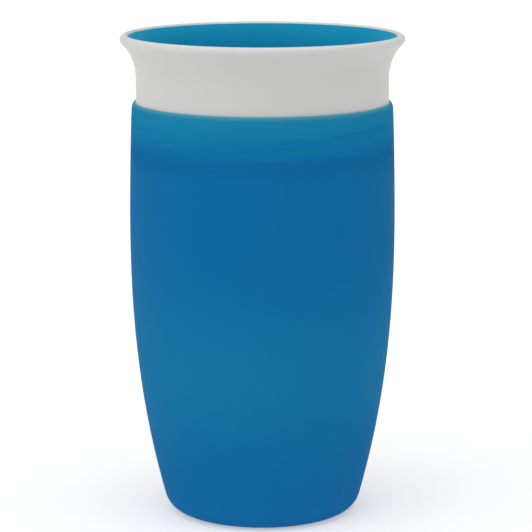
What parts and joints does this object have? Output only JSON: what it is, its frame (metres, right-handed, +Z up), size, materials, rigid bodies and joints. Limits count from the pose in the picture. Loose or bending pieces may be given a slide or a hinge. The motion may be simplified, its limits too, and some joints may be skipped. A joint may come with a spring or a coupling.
{
  "type": "sippy cup",
  "caption": "Spill-proof toddler drinking cup: frosted barrel cup, screw-in collar with a flared rim to sip from all round, soft dish valve and seal ring.",
  "frame": {"origin": "middle of the base, on the plane that the foot ring stands on", "axes": "+Z up along the cup's axis, which is also the axis of the thread and of every joint; -Y faces the viewer"},
  "size_m": [0.0818, 0.0818, 0.14],
  "materials": {
    "cup_plastic": "frosted translucent blue polypropylene, satin outside",
    "seal_silicone": "soft milky silicone",
    "collar_plastic": "satin white polypropylene with a fine moulded grain",
    "valve_silicone": "matte blue silicone"
  },
  "bodies": {
    "cup": {"cup_body": "cup_plastic"},
    "seal": {"seal_ring": "seal_silicone"},
    "lid": {"collar": "collar_plastic"},
    "valve": {"valve": "valve_silicone"}
  },
  "joints": [
    {"name": "lid_rise", "type": "slide", "parent": "cup", "child": "seal", "axis": [0, 0, 1], "range_m": [0, 0.0136]},
    {"name": "lid_turn", "type": "hinge", "parent": "seal", "child": "lid", "pos_m": [0, 0, 0.1206], "axis": [0, 0, 1], "range_deg": [0, 540]},
    {"name": "valve_pull", "type": "slide", "parent": "lid", "child": "valve", "axis": [0, 0, 1], "range_m": [0, 0.025]}
  ],
  "couplings": [
    {"joint": "lid_rise", "follows": "lid_turn", "m_per_rad": 0.0014324}
  ]
}
